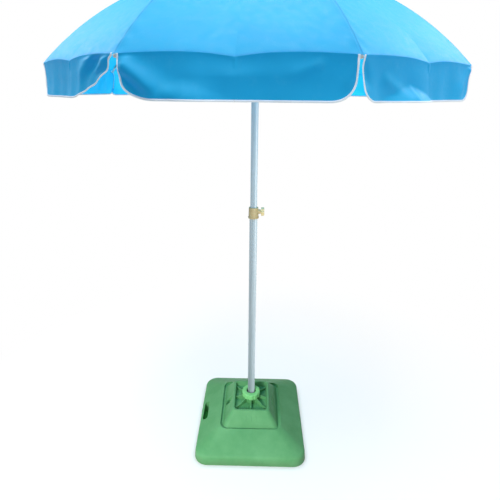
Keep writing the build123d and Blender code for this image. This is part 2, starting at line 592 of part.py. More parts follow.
def make_valance_flap():
    """The cloth flap that hangs from one gore's hem: straight above, with rounded lower corners."""
    width = 2 * (CANOPY_RADIUS * sin(radians(HALF_GORE)) - VALANCE_SIDE_GAP)
    outline = Pos(0, -VALANCE_DROP / 2) * Rectangle(width, VALANCE_DROP)
    outline = fillet(outline.vertices().group_by(Axis.Y)[0], VALANCE_CORNER)
    hem_z = ARC_CENTRE + ARC_RADIUS * cos(radians(CANOPY_EDGE_SLOPE)) - FABRIC_THICK
    reach = CANOPY_RADIUS * cos(radians(HALF_GORE))
    hang = Plane((reach, 0, hem_z), x_dir=(0, 1, 0), z_dir=(1, 0, 0))
    return Rot(0, 0, HALF_GORE) * extrude(hang * outline, -FABRIC_THICK)


def make_finial():
    """The cap nut that clamps the canopy's crown: a foot, a waist and a ball."""
    top = CANOPY_TOP + FINIAL_HEIGHT
    waist = FINIAL_RADIUS * 0.5
    outline = make_face([
        Line((0, CANOPY_TOP), (FINIAL_RADIUS, CANOPY_TOP)),
        Line((FINIAL_RADIUS, CANOPY_TOP), (FINIAL_RADIUS, CANOPY_TOP + FINIAL_BASE)),
        Spline((FINIAL_RADIUS, CANOPY_TOP + FINIAL_BASE), (waist, CANOPY_TOP + 2 * FINIAL_BASE),
               (FINIAL_RADIUS * 0.7, CANOPY_TOP + 0.68 * FINIAL_HEIGHT), (0, top)),
        Line((0, top), (0, CANOPY_TOP)),
    ])
    finial = revolve(Plane.XZ * outline, Axis.Z)
    return finial - disc(STUD_RADIUS + THREAD_GAP / 2, CANOPY_TOP, STUD_RISE + 1)


def save(name, shape):
    shape.label = name
    export_step(shape, f"parts/{name}.step")


def save_each_rib(name, shape):
    for number, azimuth in enumerate(RIB_AZIMUTHS, start=1):
        save(f"{name}_{number}", Rot(0, 0, azimuth) * shape)


def main():
    os.makedirs("parts", exist_ok=True)
    save("base_tank", make_base_tank())
    save("filler_seal", make_filler_seal())
    save("filler_cap", make_filler_cap())
    save("clamp_collet", make_clamp_collet())
    save("locking_nut", make_locking_nut())
    save("lower_tube", make_lower_tube())
    save("foot_plug", make_foot_plug())
    save("coupling_collar", make_coupling_collar())
    save("clamp_insert", make_clamp_insert())
    save("clamp_screw", make_clamp_screw())
    save("clamp_knob", make_clamp_knob())
    save("upper_tube", make_upper_tube())
    save("guide_bush", make_guide_bush())
    save("runner_catch", make_runner_catch())
    save("hub", make_hub())
    save("hub_ring", wire_ring(HUB_PIVOT_Z, HUB_PIVOT_RADIUS))
    save("runner", make_runner())
    save("runner_ring", wire_ring(RUNNER_PIVOT_Z, runner_wire_circle()))
    save_each_rib("rib", make_rib())
    save_each_rib("rib_tip", make_rib_tip())
    save_each_rib("rib_bracket", make_rib_bracket())
    save_each_rib("stretcher", make_stretcher())
    save_each_rib("valance", make_valance_flap())
    save("canopy", make_canopy())
    save("finial", make_finial())


main()
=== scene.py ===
import json
from math import asin, cos, exp, pi, radians, sin

import bmesh
import bpy
from mathutils import Matrix, Vector


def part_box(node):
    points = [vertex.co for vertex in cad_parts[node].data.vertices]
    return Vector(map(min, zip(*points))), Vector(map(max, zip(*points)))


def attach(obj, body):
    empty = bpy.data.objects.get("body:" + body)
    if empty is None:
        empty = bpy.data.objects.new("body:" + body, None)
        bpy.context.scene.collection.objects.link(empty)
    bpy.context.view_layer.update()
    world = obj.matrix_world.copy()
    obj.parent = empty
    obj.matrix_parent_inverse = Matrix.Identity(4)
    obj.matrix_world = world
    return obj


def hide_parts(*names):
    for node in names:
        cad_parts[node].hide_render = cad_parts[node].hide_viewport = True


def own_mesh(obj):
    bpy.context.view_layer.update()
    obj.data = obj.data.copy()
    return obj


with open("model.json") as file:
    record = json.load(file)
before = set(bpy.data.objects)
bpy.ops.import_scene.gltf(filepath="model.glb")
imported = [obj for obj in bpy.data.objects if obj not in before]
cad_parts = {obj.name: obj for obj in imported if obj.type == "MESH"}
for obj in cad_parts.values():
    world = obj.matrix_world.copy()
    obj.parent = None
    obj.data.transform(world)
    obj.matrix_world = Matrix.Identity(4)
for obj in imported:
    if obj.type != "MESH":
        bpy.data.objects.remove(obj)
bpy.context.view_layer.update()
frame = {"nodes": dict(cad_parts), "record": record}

# A patio umbrella with its base. Everything is in metres. The canopy's height and the drop of its
# flaps come from the frame's own boxes.

# --- the canopy's shape ----------------------------------------------------------------------
RIBS = 8
HALF_GORE = pi / RIBS
CANOPY_TURN = radians(-3.4)
EDGE_SLOPE = radians(46.0)
CANOPY_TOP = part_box("canopy")[1].z
CANOPY_RADIUS = 0.8
ARC_RADIUS = CANOPY_RADIUS / sin(EDGE_SLOPE)
ARC_CENTRE = CANOPY_TOP - ARC_RADIUS
HEM_Z = ARC_CENTRE + ARC_RADIUS * cos(EDGE_SLOPE)
FLAP_DROP = HEM_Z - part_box("valance_1")[0].z
FLAP_SIDE_GAP = 0.009
CROWN_START = 0.030

# How far a gore bows out between its ribs at the hem, and sags in half-way up.
HEM_BOW = 0.010
GORE_SAG = 0.012
PUCKER_RISE = 0.0014
CREASE_DEPTH = 0.0010

# --- how the cloth folds with the ribs -------------------------------------------------------
# The half width of the band over a rib, and the share of its width meant for each piece to keep
# folded; these shares are listed but not applied.
STRIP_HALF = 0.066
STRIP_KEEP = 0.80
OUTER_KEEP = 0.05
STRIP_ROWS = 64

# --- the camera ------------------------------------------------------------------------------
CAMERA_AT = (0.0136, -1.820, 1.807)
CAMERA_TURN = radians(0.9)
CAMERA_TILT = radians(21.8)
CAMERA_ROLL = radians(0.6)
CAMERA_LENS = 28.82
SENSOR = 36.0


# --- small helpers for node materials --------------------------------------------------------
class Shader:
    """A material with one Principled shader, and short calls for the nodes that feed it."""

    def __init__(self, name, **sockets):
        self.material = bpy.data.materials.new(name)
        self.material.use_nodes = True
        self.tree = self.material.node_tree
        self.tree.nodes.clear()
        self.output = self.tree.nodes.new("ShaderNodeOutputMaterial")
        self.main = self.tree.nodes.new("ShaderNodeBsdfPrincipled")
        self.tree.links.new(self.main.outputs[0], self.output.inputs[0])
        self.place = self.tree.nodes.new("ShaderNodeTexCoord").outputs["Object"]
        for socket, value in sockets.items():
            self.main.inputs[socket.replace("_", " ")].default_value = value

    def node(self, kind, inputs=(), **settings):
        made = self.tree.nodes.new("ShaderNode" + kind)
        for key, value in settings.items():
            setattr(made, key, value)
        for key, value in dict(inputs).items():
            self.feed(made.inputs[key], value)
        return made

    def feed(self, socket, value):
        if isinstance(value, bpy.types.NodeSocket):
            self.tree.links.new(value, socket)
        else:
            socket.default_value = value

    def math(self, operation, a, b=0.0, c=0.0):
        return self.node("Math", {0: a, 1: b, 2: c}, operation=operation).outputs[0]

    def noise(self, scale, detail=3.0, rough=0.55, at=None, stretch=None):
        at = at or self.place
        if stretch:
            at = self.node("Mapping", {"Vector": at, "Scale": stretch}).outputs[0]
        inputs = {"Vector": at, "Scale": scale, "Detail": detail, "Roughness": rough}
        return self.node("TexNoise", inputs).outputs["Fac"]

    def ramp(self, value, low, high, to_low=0.0, to_high=1.0):
        inputs = {0: value, 1: low, 2: high, 3: to_low, 4: to_high}
        return self.node("MapRange", inputs, clamp=True).outputs[0]

    def mix(self, share, a, b):
        made = self.node("Mix", data_type="RGBA", blend_type="MIX")
        self.feed(made.inputs["Factor"], share)
        self.feed(made.inputs[6], a)
        self.feed(made.inputs[7], b)
        return made.outputs[2]

    def colour(self, value):
        self.feed(self.main.inputs["Base Color"], value)

    def rough(self, value):
        self.feed(self.main.inputs["Roughness"], value)

    def bump(self, height, distance, strength=1.0, under=None):
        inputs = {"Height": height, "Distance": distance, "Strength": strength}
        if under:
            inputs["Normal"] = under
        made = self.node("Bump", inputs).outputs[0]
        self.feed(self.main.inputs["Normal"], made)
        return made

    def split(self, vector):
        made = self.node("SeparateXYZ", {0: vector})
        return made.outputs

    def overlay(self, other, share):
        """Show a share of another shader in place of the main one."""
        both = self.node("MixShader", {0: share, 1: self.main.outputs[0], 2: other.outputs[0]})
        self.tree.links.new(both.outputs[0], self.output.inputs[0])


def rgb(red, green, blue):
    """A colour as a screen shows it, 0 to 255, as linear values."""
    def linear(x):
        x /= 255
        return x / 12.92 if x <= 0.04045 else ((x + 0.055) / 1.055) ** 2.4
    return (linear(red), linear(green), linear(blue), 1.0)


# --- materials -------------------------------------------------------------------------------
def green_plastic(name, base, light):
    """Blow-moulded polyethylene: a fine leathery skin, cloudy colour and dust near the ground."""
    s = Shader(name, Specular_IOR_Level=0.2)
    cloud = s.noise(9, 4)
    tone = s.mix(s.ramp(cloud, 0.35, 0.7), base, light)
    speck = s.noise(260, 2)
    tone = s.mix(s.ramp(speck, 0.62, 0.8, 0, 0.25), tone, rgb(150, 190, 150))
    height = s.split(s.place)["Z"]
    dust_edge = s.math("ADD", height, s.math("MULTIPLY", s.noise(14, 5), -0.05))
    tone = s.mix(s.ramp(dust_edge, -0.02, 0.015, 0.35, 0.0), tone, rgb(96, 120, 84))
    s.colour(tone)
    s.rough(s.ramp(s.noise(60, 4), 0.3, 0.7, 0.46, 0.62))
    wave = s.bump(s.noise(22, 2), 0.0012, 0.35)
    s.bump(s.noise(900, 2), 0.00025, 0.5, wave)
    return s.material


def painted_tube():
    """Epoxy-painted steel tube: pale blue-grey, with faint drawn lines and a few scuffs."""
    s = Shader("tube_paint", Specular_IOR_Level=0.5, Coat_Weight=0.25, Coat_Roughness=0.25)
    lines = s.noise(220, 3, stretch=(1.0, 1.0, 0.02))
    tone = s.mix(s.ramp(lines, 0.35, 0.65), rgb(158, 175, 182), rgb(176, 191, 196))
    scuff = s.ramp(s.noise(70, 6, 0.7, stretch=(1.0, 1.0, 0.2)), 0.66, 0.74, 0, 0.5)
    tone = s.mix(scuff, tone, rgb(140, 150, 152))
    s.colour(tone)
    s.rough(s.ramp(lines, 0.3, 0.7, 0.3, 0.42))
    s.bump(s.noise(500, 2), 0.0001, 0.4)
    return s.material


def moulded_plastic(name, base, light, roughness):
    """A small moulded fitting, with a fine spark-eroded skin and slightly cloudy colour."""
    s = Shader(name, Specular_IOR_Level=0.45)
    s.colour(s.mix(s.ramp(s.noise(45, 4), 0.35, 0.65), base, light))
    s.rough(s.ramp(s.noise(120, 3), 0.3, 0.7, roughness - 0.06, roughness + 0.08))
    s.bump(s.noise(600, 2), 0.0002, 0.45)
    return s.material


def plated_steel(name, base, roughness):
    """Plated metal, with a faint crystal pattern and drawn lines."""
    s = Shader(name, Metallic=1.0)
    cells = s.node("TexVoronoi", {"Vector": s.place, "Scale": 160.0}).outputs["Color"]
    grey = s.split(cells)["X"]
    dark = tuple(0.8 * c for c in base[:3]) + (1.0,)
    s.colour(s.mix(s.ramp(grey, 0, 1), dark, base))
    s.rough(s.ramp(s.noise(240, 4), 0.3, 0.7, roughness - 0.06, roughness + 0.14))
    s.bump(s.noise(700, 2), 0.00008, 0.5)
    return s.material


# The cloths' thread pitches, and how far each row of stitches runs from the seam over the rib.
CLOTH_THREAD = 0.0011
TAPE_THREAD = 0.0009
SEAM_TO_STITCHES = 0.005


def woven(s, pitch, depth, threads):
    """Plain weave over the cloth's own lengths, whose x and y are threads: a bump and a tone."""
    x, y, _ = s.split(threads)
    warp = s.math("SINE", s.math("MULTIPLY", x, 2 * pi / pitch))
    weft = s.math("SINE", s.math("MULTIPLY", y, 2 * pi / pitch))
    weave = s.math("MULTIPLY", warp, weft)
    s.bump(weave, depth, 0.6)
    return s.ramp(weave, -1, 1, 0.0, 1.0)


def stitches(s, off, along, thread, pitch, gap):
    """1 on a row of stitches and 0 beside it. off is the distance from the row's own line."""
    row = s.ramp(off, thread[0], thread[1], 1.0, 0.0)
    wave = s.math("SINE", s.math("MULTIPLY", along, 2 * pi / pitch))
    return s.math("MULTIPLY", row, s.math("GREATER_THAN", wave, gap))


def canopy_cloth():
    """Coated polyester, bright blue: weave, a stitched seam over the rib, wear, light through."""
    s = Shader("canopy_cloth", Specular_IOR_Level=0.22, Sheen_Weight=0.10, Sheen_Roughness=0.5)
    s.main.inputs["Sheen Tint"].default_value = (0.6, 0.92, 1.0, 1.0)
    own = s.node("Attribute", attribute_name="cloth").outputs["Vector"]
    weave = woven(s, CLOTH_THREAD, 0.00006, own)
    tone = s.mix(s.ramp(s.noise(5, 4, at=own), 0.3, 0.7), rgb(22, 162, 220), rgb(30, 172, 228))
    tone = s.mix(s.math("MULTIPLY", weave, 0.10), tone, rgb(20, 120, 190))
    fade = s.ramp(s.noise(26, 5, 0.65, at=own), 0.55, 0.75, 0, 0.18)
    tone = s.mix(fade, tone, rgb(96, 200, 240))
    across, along, _ = s.split(own)
    off = s.math("ABSOLUTE", across)
    tone = s.mix(s.ramp(off, 0.0008, 0.0018, 0.55, 0.0), tone, rgb(16, 104, 166))
    off_row = s.math("ABSOLUTE", s.math("SUBTRACT", off, SEAM_TO_STITCHES))
    sewn = stitches(s, off_row, along, (0.0002, 0.0006), 0.0032, -0.2)
    tone = s.mix(s.math("MULTIPLY", sewn, 0.5), tone, rgb(120, 205, 240))
    s.colour(tone)
    s.rough(s.ramp(s.noise(40, 4, at=own), 0.3, 0.7, 0.5, 0.66))
    s.overlay(s.node("BsdfTranslucent", {"Color": rgb(30, 198, 248)}), 0.3)
    return s.material


def white_tape():
    """The bound edge: white cotton-like tape with its own ribbed weave and a row of stitches."""
    s = Shader("white_tape", Specular_IOR_Level=0.2, Sheen_Weight=0.2)
    own = s.node("Attribute", attribute_name="cloth").outputs["Vector"]
    weave = woven(s, TAPE_THREAD, 0.00012, own)
    tone = s.mix(s.math("MULTIPLY", weave, 0.25), rgb(246, 249, 250), rgb(222, 230, 234))
    across, along, _ = s.split(own)
    sewn = stitches(s, s.math("ABSOLUTE", across), along, (0.0003, 0.0007), 0.0035, -0.1)
    tone = s.mix(s.math("MULTIPLY", sewn, 0.35), tone, rgb(170, 190, 200))
    tone = s.mix(s.ramp(s.noise(30, 4), 0.5, 0.8, 0, 0.3), tone, rgb(205, 214, 212))
    s.colour(tone)
    s.rough(0.75)
    s.overlay(s.node("BsdfTranslucent", {"Color": rgb(240, 248, 252)}), 0.35)
    return s.material


def make_materials():
    """Every material by name. All but the tape's are slots of the record."""
    greens = {
        "base_green": (rgb(92, 162, 104), rgb(108, 176, 118)),
        # Painted light: the nut's green is lighter than the tank's, to make up for the shade that
        # the nut sits in.
        "nut_green": (rgb(108, 186, 114), rgb(124, 198, 128)),
    }
    plastics = {
        "seal_rubber": (rgb(30, 32, 30), rgb(44, 46, 44), 0.7),
        "black_plastic": (rgb(28, 32, 30), rgb(44, 48, 46), 0.5),
        "collar_plastic": (rgb(190, 168, 122), rgb(206, 186, 136), 0.4),
        "knob_plastic": (rgb(228, 208, 150), rgb(240, 222, 168), 0.35),
        "white_plastic": (rgb(226, 230, 228), rgb(238, 240, 236), 0.4),
    }
    metals = {
        "insert_brass": (rgb(208, 170, 96), 0.3),
        "zinc_steel": (rgb(196, 200, 204), 0.3),
        "rib_steel": (rgb(206, 210, 214), 0.36),
    }
    made = {
        "tube_paint": painted_tube(),
        "canopy_cloth": canopy_cloth(),
        "white_tape": white_tape(),
    }
    kinds = ((green_plastic, greens), (moulded_plastic, plastics), (plated_steel, metals))
    for make, looks in kinds:
        made.update({name: make(name, *look) for name, look in looks.items()})
    return made


def dress_frame(materials):
    """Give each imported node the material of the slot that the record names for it."""
    for part in frame["record"]["subparts"]:
        node, slot = frame["nodes"][part["node"]], part["material_slot"]
        node.data.materials.clear()
        node.data.materials.append(materials[slot])


# --- the canopy's surface --------------------------------------------------------------------
def smooth(x, low, high):
    """0 at low, 1 at high, with no corner between."""
    x = min(1.0, max(0.0, (x - low) / (high - low)))
    return x * x * (3 - 2 * x)


def rib_azimuth(i):
    """The direction of a rib, counted from 0 anticlockwise as seen from above."""
    return CANOPY_TURN + HALF_GORE + i * 2 * HALF_GORE


def gore_azimuth(gore):
    """The direction of a gore's middle. Gore i lies between rib i and the next."""
    return rib_azimuth(gore) + HALF_GORE


def outward(azimuth):
    """The level unit vector in a direction. sideways gives the one a quarter turn on."""
    return Vector((cos(azimuth), sin(azimuth), 0))


def sideways(azimuth):
    return Vector((-sin(azimuth), cos(azimuth), 0))


# How far each gore's hem is pulled down at its middle fold, and puffed up beside it.
HEM_DIP = [0.004, 0.005, 0.003, 0.004, 0.004, 0.006, 0.005, 0.004]
HEM_PUFF = [0.003, 0.004, 0.003, 0.004, 0.005, 0.005, 0.004, 0.003]


def hem_offset(gore, across):
    """The hem's rise at a place across the gore: -1 and 1 are its ribs, and 0 its middle fold."""
    side = abs(across)
    arch = sin(pi * min(1.0, side)) * HEM_PUFF[gore]
    return arch - HEM_DIP[gore] * exp(-(side / 0.20) ** 1.6)


def canopy_point(gore, across, angle):
    """A point of the cloth of one gore. angle is the rib's arc from the crown."""
    reach = ARC_RADIUS * sin(angle)
    height = ARC_CENTRE + ARC_RADIUS * cos(angle)
    share = angle / EDGE_SLOPE
    side = across * reach * sin(HALF_GORE)
    out = reach * cos(HALF_GORE)

    near_hem = smooth(share, 0.72, 1.0) ** 1.5
    sag = GORE_SAG * sin(pi * min(1.0, share * 1.15)) * smooth(share, 0.1, 0.5)
    out += (1 - across * across) * (HEM_BOW * near_hem - sag)
    height += hem_offset(gore, across) * near_hem

    off_rib = 1 - abs(across)
    puckered = smooth(share, 0.62, 0.97) * (1 - smooth(share, 0.985, 1.0))
    puckered *= exp(-(off_rib / 0.10) ** 2) * smooth(off_rib, 0.0, 0.03)
    pucker = PUCKER_RISE * puckered * sin(share * 95 + abs(across) * 30 + gore * 1.7)
    crease = CREASE_DEPTH * exp(-(across / 0.030) ** 2) * smooth(share, 0.86, 0.99)
    out += (pucker - crease) * sin(angle)
    height += (pucker - crease) * cos(angle)
    return Matrix.Rotation(gore_azimuth(gore), 3, "Z") @ Vector((out, side, height))


def hem_point(gore, across):
    return canopy_point(gore, across, EDGE_SLOPE)


# --- building meshes -------------------------------------------------------------------------
def mesh_object(name, points, faces, material, cloth=None):
    """A smooth mesh. cloth is each point's place in the sheet laid flat, for its weave."""
    mesh = bpy.data.meshes.new(name)
    mesh.from_pydata([tuple(p) for p in points], [], faces)
    mesh.validate()
    if cloth:
        attribute = mesh.attributes.new("cloth", "FLOAT_VECTOR", "POINT")
        flat = [c for uv in cloth for c in (uv[0], uv[1], 0.0)]
        attribute.data.foreach_set("vector", flat)
    mesh.polygons.foreach_set("use_smooth", [True] * len(mesh.polygons))
    made = bpy.data.objects.new(name, mesh)
    bpy.context.scene.collection.objects.link(made)
    mesh.materials.append(material)
    return made


def grid_faces(rows, columns):
    """Quads of a grid of points written row by row."""
    return [
        (r * columns + c, r * columns + c + 1, (r + 1) * columns + c + 1, (r + 1) * columns + c)
        for r in range(rows - 1)
        for c in range(columns - 1)
    ]


def ring_faces(rings, around):
    """Quads of a grid of points written ring by ring, which closes round each ring."""
    faces = []
    for r in range(rings - 1):
        for k in range(around):
            a, b = r * around + k, r * around + (k + 1) % around
            faces.append((a, b, b + around, a + around))
    return faces


def span(low, high, count):
    """Evenly spaced values from low to high, both included."""
    return [low + (high - low) * i / (count - 1) for i in range(count)]


def point_off_rib(rib, offset, angle):
    """The cloth at a distance to one side of a rib's plane: plus is towards the next rib."""
    gore = rib if offset >= 0 else (rib - 1) % RIBS
    half = ARC_RADIUS * sin(angle) * sin(HALF_GORE)
    from_rib = min(1.0, abs(offset) / (half * cos(HALF_GORE)))
    across = from_rib - 1 if offset >= 0 else 1 - from_rib
    return canopy_point(gore, across, angle)


def strip(rib, name, low_of, high_of, columns, material):
    """A strip of cloth along a rib, between two distances from the rib's plane at each height."""
    start = asin(CROWN_START / ARC_RADIUS)
    points, cloth = [], []
    for angle in span(start, EDGE_SLOPE, STRIP_ROWS):
        limit = ARC_RADIUS * sin(angle) * sin(HALF_GORE) * cos(HALF_GORE)
        low, high = low_of(limit), high_of(limit)
        for offset in span(low, high, columns):
            points.append(point_off_rib(rib, offset, angle))
            cloth.append((offset / cos(HALF_GORE), angle * ARC_RADIUS))
    return mesh_object(name, points, grid_faces(STRIP_ROWS, columns), material, cloth)


def make_canopy_cloth(materials):
    """The cloth round each rib, in three strips, so that it gathers between ribs as they fold.

    The middle strip is the widest. Each strip is listed with the share of width it should keep
    and an anchor, but nothing here uses them.
    """
    made = []
    outer = STRIP_HALF * (STRIP_KEEP - OUTER_KEEP) / (1 - OUTER_KEEP)
    parts = [
        ("mid", lambda m: -min(m, STRIP_HALF), lambda m: min(m, STRIP_HALF), 25, STRIP_KEEP, 0),
        ("left", lambda m: min(m, STRIP_HALF), lambda m: m, 29, OUTER_KEEP, outer),
        ("right", lambda m: -m, lambda m: -min(m, STRIP_HALF), 29, OUTER_KEEP, -outer),
    ]
    for rib in range(RIBS):
        for side, low_of, high_of, columns, keep, anchor in parts:
            name = f"cloth_{side}_{rib + 1}"
            piece = strip(rib, name, low_of, high_of, columns, materials["canopy_cloth"])
            trim_empty_faces(piece)
            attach(piece, f"rib_{rib + 1}")
            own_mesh(piece)
            made.append(piece)
    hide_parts("canopy")
    return made


def trim_empty_faces(made):
    """Drop the faces with no area, where a strip starts at a point."""
    work = bmesh.new()
    work.from_mesh(made.data)
    bmesh.ops.dissolve_degenerate(work, dist=1e-5, edges=work.edges)
    loose = [v for v in work.verts if not v.link_faces]
    bmesh.ops.delete(work, geom=loose, context="VERTS")
    work.to_mesh(made.data)
    work.free()


# --- the valance flaps -----------------------------------------------------------------------
FLAP_HALF = CANOPY_RADIUS * sin(HALF_GORE)
FLAP_EDGE = FLAP_HALF - FLAP_SIDE_GAP
# The hem's turned-in band: its height, how far in it lies, and the heights of its mesh rows.
HEM_BAND = 0.006
HEM_TUCK = 0.0016
BAND_ROWS = (1, 0.7, 0.4, 0.15)
# The flap's mesh: rows from the hem to its foot, and places across its straight part and corner.
FLAP_ROWS = 44
FLAT_PLACES = 58
CORNER_PLACES = 22
# The binding's flat sleeve, and how far from its middle the cloth's own directions are taken.
BIND_WIDTH = 0.0056
BIND_THICK = 0.0026
BIND_SIDES = 10
BIND_SIDE_STEPS = 16
PROBE = 0.004
# Added to a sheet's flat place across, so that the canopy's seam at 0 doesn't show on it.
NO_SEAM = 1.0
# How square the flaps' rounded corners are: 2 would be a plain ellipse.
CORNER_POWER = 2.3

# The rounding of each flap's two lower corners, sideways and up; the first is at the lower rib.
CORNERS = [
    ((0.060, 0.054), (0.072, 0.050)), ((0.066, 0.050), (0.058, 0.056)),
    ((0.058, 0.052), (0.034, 0.034)), ((0.036, 0.036), (0.060, 0.050)),
    ((0.060, 0.050), (0.090, 0.050)), ((0.098, 0.052), (0.066, 0.058)),
    ((0.044, 0.034), (0.064, 0.052)), ((0.070, 0.050), (0.056, 0.052)),
]
# How far each flap's foot stands out, how far its middle fold does, and its long soft waves:
# height, length and start of each.
FLARE = [0.010, 0.006, 0.009, 0.007, 0.008, 0.012, 0.011, 0.007]
TENT = [0.006, 0.009, 0.005, 0.008, 0.004, 0.013, 0.006, 0.008]
WAVES = [
    ((0.006, 0.23, 0.4), (0.003, 0.11, 1.9)), ((0.007, 0.27, 2.0), (0.003, 0.13, 0.6)),
    ((0.006, 0.21, 4.4), (0.003, 0.12, 2.4)), ((0.008, 0.29, 1.2), (0.002, 0.10, 5.0)),
    ((0.004, 0.28, 0.2), (0.0015, 0.09, 1.0)), ((0.004, 0.34, 3.4), (0.0015, 0.12, 0.8)),
    ((0.005, 0.26, 2.6), (0.003, 0.12, 3.9)), ((0.007, 0.24, 5.2), (0.003, 0.14, 1.1)),
]
# Slanting folds of each half flap, by gore and side: where the fold starts (from the rib and from
# the hem), its slope in degrees below level, and its length, width and height.
FOLDS = {
    (0, -1): [(0.030, 0.010, 50, 0.12, 0.012, -0.0060)],
    (0, 1): [(0.006, 0.006, 36, 0.18, 0.015, 0.0090)],
    (1, -1): [(0.006, 0.006, 42, 0.17, 0.014, 0.0100)],
    (1, 1): [(0.060, 0.020, 24, 0.14, 0.012, 0.0060)],
    (2, -1): [(0.008, 0.010, 33, 0.18, 0.015, 0.0090)],
    (2, 1): [(0.004, 0.004, 62, 0.15, 0.016, 0.0120)],
    (3, -1): [(0.004, 0.004, 62, 0.16, 0.016, -0.0100), (0.080, 0.006, 40, 0.16, 0.012, 0.0060)],
    (3, 1): [(0.040, 0.008, 44, 0.13, 0.012, -0.0060)],
    (4, 1): [
        (0.020, 0.004, 40, 0.10, 0.012, 0.0080),
        (0.070, 0.002, 30, 0.11, 0.013, -0.0080),
        (0.120, 0.004, 26, 0.13, 0.015, 0.0080),
    ],
    (5, -1): [
        (0.012, 0.020, 36, 0.17, 0.019, 0.0220),
        (0.004, 0.050, 38, 0.12, 0.011, -0.0100),
        (0.120, 0.085, 8, 0.16, 0.020, 0.0080),
    ],
    (5, 1): [(0.090, 0.020, 20, 0.11, 0.010, 0.0035), (0.004, 0.012, 62, 0.09, 0.010, 0.0040)],
    (6, -1): [(0.090, 0.050, 24, 0.16, 0.014, 0.0050), (0.004, 0.010, 70, 0.08, 0.009, -0.0045)],
    (6, 1): [(0.010, 0.006, 40, 0.16, 0.014, 0.0080)],
    (7, -1): [(0.020, 0.008, 30, 0.15, 0.013, 0.0060)],
    (7, 1): [(0.006, 0.006, 41, 0.17, 0.014, 0.0100)],
}
# The small gather under the hem at each flap's middle.
MIDDLE_PINCH = 0.0022
# Corners that hang out of place, by gore and side: how far each slips from its rib, and how far
# its foot is lifted.
SLIPPED = {(4, 1): (0.058, 0.040), (3, -1): (-0.026, 0.0), (2, 1): (-0.024, -0.004)}

# Where a flap's foot kicks out, by gore: its place from the middle, half its width, its height,
# and the share of the drop at which it starts.
LIPS = {
    0: (0.060, 0.120, 0.016, 0.60),
    2: (-0.070, 0.100, 0.015, 0.62),
    3: (0.050, 0.110, 0.014, 0.60),
    5: (-0.130, 0.130, 0.010, 0.50),
    6: (-0.100, 0.125, 0.034, 0.56),
    7: (-0.060, 0.120, 0.018, 0.60),
}


def flap_depth(gore, place):
    """How far down the flap reaches at a place along its chord, with its rounded corner."""
    across, up = CORNERS[gore][place > 0]
    x = min(1.0, max(0.0, (abs(place) - FLAP_EDGE + across) / across))
    return FLAP_DROP - up * (1 - (1 - x ** CORNER_POWER) ** (1 / CORNER_POWER))


def fold_height(fold, from_rib, drop):
    """How far one slanting fold pushes the cloth out at a place."""
    start, top, slope, length, width, height = fold
    dx, dy, slope = from_rib - start, drop - top, radians(slope)
    along = dx * cos(slope) + dy * sin(slope)
    off = dy * cos(slope) - dx * sin(slope)
    fade = smooth(along, -0.012, 0.020) * (1 - smooth(along, 0.55 * length, length))
    width *= 1 + 0.9 * max(0.0, along) / length
    return height * fade * exp(-(off / width) ** 2)


def flap_point(gore, place, drop):
    """A point of a flap: place runs along its chord from its middle, drop down from the hem."""
    side = 1 if place > 0 else -1
    from_rib = FLAP_HALF - abs(place)
    share = drop / FLAP_DROP
    out = FLARE[gore] * share ** 1.6 - 0.003 * sin(pi * share)
    out += TENT[gore] * (1 - abs(place) / FLAP_HALF) * smooth(share, 0.0, 0.5)
    for height, length, start in WAVES[gore]:
        out += height * share * sin(2 * pi * place / length + start)
    for fold in FOLDS.get((gore, side), ()):
        out += fold_height(fold, from_rib, drop) * smooth(drop, 0.0, 0.014)
    pinch = smooth(drop, 0, 0.006) * (1 - smooth(drop, 0.016, 0.034))
    out += MIDDLE_PINCH * exp(-(place / 0.005) ** 2) * pinch
    if gore in LIPS:
        at, half, height, top = LIPS[gore]
        away = min(1.0, abs(place - at) / half)
        out += height * (1 - away) * smooth(share, top + (0.95 - top) * away, 1.05)

    hem = hem_point(gore, place / FLAP_HALF)
    point = hem + outward(gore_azimuth(gore)) * out
    point.z += (HEM_Z - hem.z) * smooth(drop, 0.0, 0.075) - drop
    slip, lift = SLIPPED.get((gore, side), (0.0, 0.0))
    slip *= (0.35 * smooth(drop, 0.0, 0.014) + 0.65 * share) * (1 - smooth(from_rib, 0.0, 0.29))
    point -= sideways(gore_azimuth(gore)) * (side * slip)
    point.z += lift * (1 - smooth(from_rib, 0.02, 0.29)) * smooth(drop, 0.02, 0.10)
    return point


def band_point(gore, place, up):
    """A point of the hem that is turned in and sewn up inside the canopy."""
    point = canopy_point(gore, place / FLAP_HALF, EDGE_SLOPE - up / ARC_RADIUS)
    inward = -sin(EDGE_SLOPE) * outward(gore_azimuth(gore)) - Vector((0, 0, cos(EDGE_SLOPE)))
    return point + inward * HEM_TUCK * smooth(up, 0.0, HEM_BAND)


def flap_places(gore, side):
    """Places across half a flap, from its middle, closer together round the corner."""
    across = CORNERS[gore][side > 0][0]
    start = FLAP_EDGE - across
    turns = [radians(90) * i / CORNER_PLACES for i in range(1, CORNER_PLACES + 1)]
    places = span(0.0, start, FLAT_PLACES) + [start + across * sin(turn) for turn in turns]
    return [side * place for place in places]


def half_name(kind, gore, side):
    """Flaps count from 1, and their halves are a at the lower rib and b at the next."""
    letter = "b" if side > 0 else "a"
    return f"{kind}_{letter}_{gore + 1}"


def make_flap_half(gore, side, material):
    """One side of a flap, with the band of hem that is sewn up inside the canopy."""
    points, cloth = [], []
    places = flap_places(gore, side)
    for up in [HEM_BAND * part for part in BAND_ROWS]:
        for place in places:
            points.append(band_point(gore, place, up))
            cloth.append((place + NO_SEAM, up))
    for row in range(FLAP_ROWS):
        for place in places:
            drop = flap_depth(gore, place) * row / (FLAP_ROWS - 1)
            points.append(flap_point(gore, place, drop))
            cloth.append((place + NO_SEAM, -drop))
    faces = grid_faces(len(BAND_ROWS) + FLAP_ROWS, len(places))
    return mesh_object(half_name("flap", gore, side), points, faces, material, cloth)


